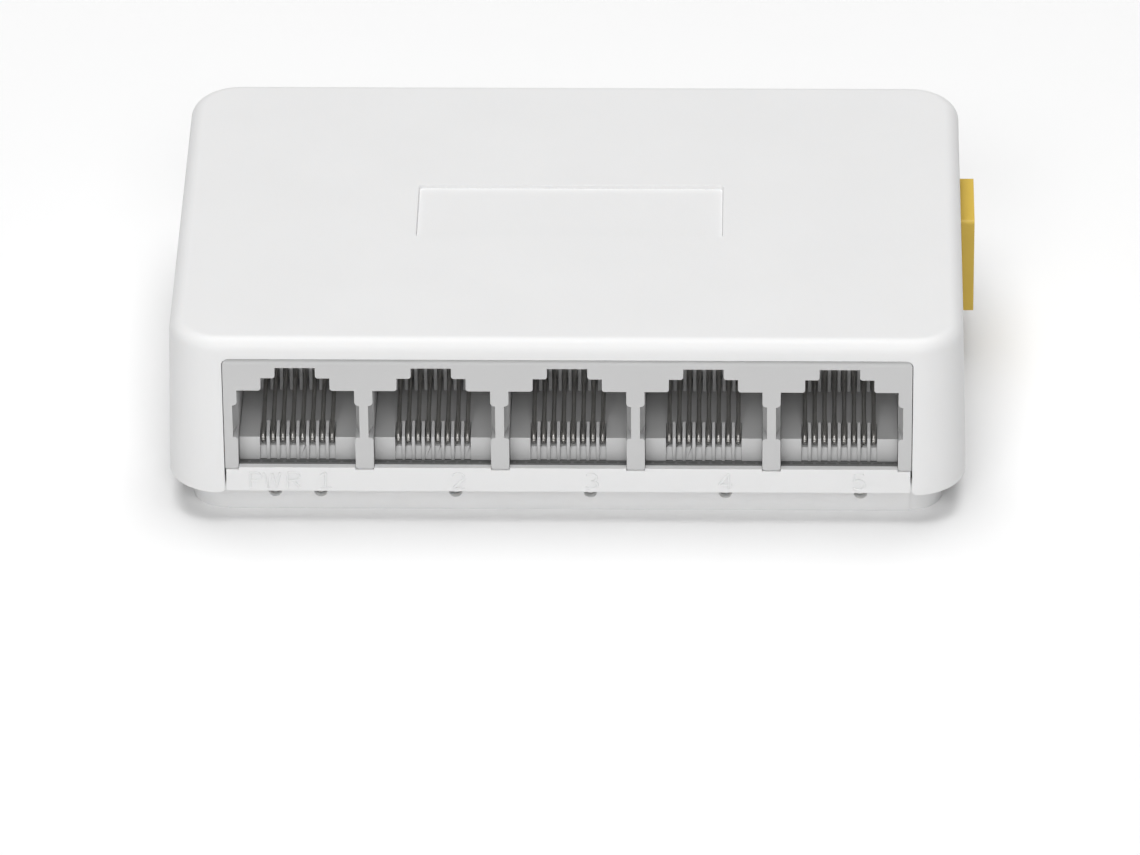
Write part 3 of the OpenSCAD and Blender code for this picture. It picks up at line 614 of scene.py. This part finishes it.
# A stroke is a low ridge: half of a squared-off ellipse carried along the sign's path
def strokeGrid(path, x0, wide):
    s = label
    p = np.asarray(path, float) * [wide, s["high"] - s["low"]] + [x0, s["low"]]
    seg = np.linalg.norm(np.diff(p, axis=0), axis=1)
    t = np.concatenate([[0], np.cumsum(seg)])
    even = np.linspace(0, t[-1], max(int(t[-1] / s["spacing"]), 4))
    p = np.stack([np.interp(even, t, p[:, 0]), np.interp(even, t, p[:, 1])], -1)
    step = np.gradient(p, axis=0)
    along = step / np.linalg.norm(step, axis=1, keepdims=True)
    side = np.stack([-along[:, 1], along[:, 0]], -1)
    a = np.linspace(0, pi, 13)
    across = np.concatenate([np.cos(a), [-1.0, 1.0]]) * s["width"] / 2
    lift = np.concatenate([np.abs(np.sin(a)) ** s["square"] * s["lift"], [-s["root"], -s["root"]]])
    end = np.ones(len(p))
    end[[0, -1]], end[[1, -2]] = s["ends"]
    x = p[:, :1] + side[:, :1] * across * end[:, None]
    z = p[:, 1:] + side[:, 1:] * across * end[:, None]
    y = s["faceY"] - lift[None, :] * np.where(lift[None, :] > 0, end[:, None], 1) + np.zeros_like(x)
    return np.stack([x, y, z], -1)


def raisedSign(name, places):
    verts, faces, start = [], [], 0
    for letter, x0, wide in places:
        for path in strokes[letter]:
            grid = strokeGrid(path, x0, wide)
            faces += ringFaces(grid.shape[0], grid.shape[1], True, start)
            verts.append(grid.reshape(-1, 3))
            start += grid.shape[0] * grid.shape[1]
    piece = outward(newPiece(name, np.concatenate(verts) * mm, faces))
    return finish(piece, caseWhite)


strokes = signStrokes()
for i in range(5):
    left = label["first"] + label["step"] * i - label["wide"] / 2
    raisedSign(f"portSign{i + 1}", [(str(i + 1), left, label["wide"])])
raisedSign("powerSign", label["power"])
print("labels raised")

# Inner pieces keep their CAD shape
innerFinish = {
    "circuit_board": boardResist, "dc_centre_pin": wirePlate, "dc_sleeve_tail": tinPlate,
    "dc_switch_contact": tinPlate, "dc_sleeve_spring": wirePlate, "magnetics_leads": tinPlate,
    "switch_chip": packageBlack, "switch_chip_leads": tinPlate, "crystal_can": tinPlate,
    "input_capacitor": sleeveBlue, "output_capacitor": sleeveBlue, "power_inductor": ferriteGrey,
    "buck_regulator": packageBlack, "polarity_diode": packageBlack, "chip_resistors": packageBlack,
    "chip_capacitors": ceramicTan, "status_lamps": lampResin, "lamp_leads": tinPlate,
    "board_screws": zincSteel, "case_screws": zincSteel}
innerFinish.update({f"magnetics_{i}": packageBlack for i in range(1, 6)})
for node, material in innerFinish.items():
    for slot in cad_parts[node].material_slots:
        slot.material = material

# Floor, light and camera
stageSet = {"floor": 2.4, "floorColour": (0.96, 0.96, 0.96), "world": 0.03, "front": 2.95, "low": 2.05,
            "over": 13.1}


# Flat paper: one sheet whose far end curves up behind the object along a quarter circle
def buildFloor():
    w = stageSet["floor"]
    x = np.linspace(-w, w, 9)
    a = np.linspace(0, pi / 2, 13)
    y = np.concatenate([[-w, -0.3, 0.3], 1.2 + 0.6 * np.sin(a), [1.8]])
    z = np.concatenate([[0, 0, 0], 0.6 - 0.6 * np.cos(a), [2.2]])
    xs, ys = np.meshgrid(x, y, indexing="ij")
    zs = np.broadcast_to(z, xs.shape)
    verts = np.stack([xs, ys, zs], -1).reshape(-1, 3)
    rows, cols = xs.shape
    r, c = np.meshgrid(np.arange(rows - 1), np.arange(cols - 1), indexing="ij")
    quads = np.stack([r * cols + c, (r + 1) * cols + c, (r + 1) * cols + c + 1, r * cols + c + 1], -1)
    floor = newPiece("paperFloor", verts, quads.reshape(-1, 4).tolist(), None)
    m, t, bsdf = newMaterial("paper")
    coord = nodeAt(t, "ShaderNodeTexCoord", -700, 0)
    noise = nodeAt(t, "ShaderNodeTexNoise", -500, 0)
    noise.inputs["Scale"].default_value = 120
    t.links.new(coord.outputs["Object"], noise.inputs["Vector"])
    t.links.new(ramp(t, -300, 0, 0.75, 0.85, noise.outputs["Fac"]), bsdf.inputs["Roughness"])
    bsdf.inputs["Base Color"].default_value = (*stageSet["floorColour"], 1)
    floor.data.materials.append(m)


buildFloor()


def areaLight(name, place, target, size, power):
    data = bpy.data.lights.new(name, "AREA")
    data.shape = "RECTANGLE"
    data.size, data.size_y = size
    data.energy = power
    lamp = bpy.data.objects.new(name, data)
    bpy.context.scene.collection.objects.link(lamp)
    way = np.array(target, float) - np.array(place, float)
    way /= np.linalg.norm(way)
    right = np.cross(way, [0, 0, 1.0])
    right /= np.linalg.norm(right)
    up = np.cross(right, way)
    m = Matrix(np.stack([right, up, -way], 1).tolist()).to_4x4()
    m.translation = place
    lamp.matrix_world = m


# A point on a sphere round the object: turn is measured from the ports' side, high from the floor
def aroundObject(turn, high, far):
    t, h = radians(turn), radians(high)
    return (far * sin(t) * cos(h), -far * cos(t) * cos(h), far * sin(h))


middle = (0, 0, 0.01)
areaLight("frontSheet", aroundObject(-4, 40, 0.95), middle, (0.7, 0.3), stageSet["front"])
areaLight("lowSheet", aroundObject(-6, 9, 0.95), middle, (1.1, 0.22), stageSet["low"])
areaLight("overSheet", (0.0, 0.12, 1.2), (0.0, 0.1201, 0.0), (0.9, 0.9), stageSet["over"])
bpy.context.scene.view_settings.view_transform = "Standard"
world = bpy.data.worlds.new("studio")
bpy.context.scene.world = world
world.use_nodes = True
world.node_tree.nodes["Background"].inputs["Color"].default_value = (1, 1, 1, 1)
world.node_tree.nodes["Background"].inputs["Strength"].default_value = stageSet["world"]

view = {"place": (0.022755, -0.849032, 0.538356), "azimuth": -1.5533, "elevation": 32.6172,
        "roll": -0.6059, "focal": 300.13, "sensor": 36.0}


# The camera's axes: forward from azimuth and elevation, right level, then both turned by the roll
def buildCamera():
    az, el, ro = (radians(view[k]) for k in ("azimuth", "elevation", "roll"))
    forward = np.array([sin(az) * cos(el), cos(az) * cos(el), -sin(el)])
    level = np.array([cos(az), -sin(az), 0.0])
    up = np.cross(level, forward)
    right = level * cos(ro) + up * sin(ro)
    top = -level * sin(ro) + up * cos(ro)
    data = bpy.data.cameras.new("view")
    data.sensor_width = view["sensor"]
    data.lens = view["focal"]
    camera = bpy.data.objects.new("view", data)
    bpy.context.scene.collection.objects.link(camera)
    m = Matrix(np.stack([right, top, -forward], 1).tolist()).to_4x4()
    m.translation = view["place"]
    camera.matrix_world = m
    bpy.context.scene.camera = camera


buildCamera()
print("stage set")
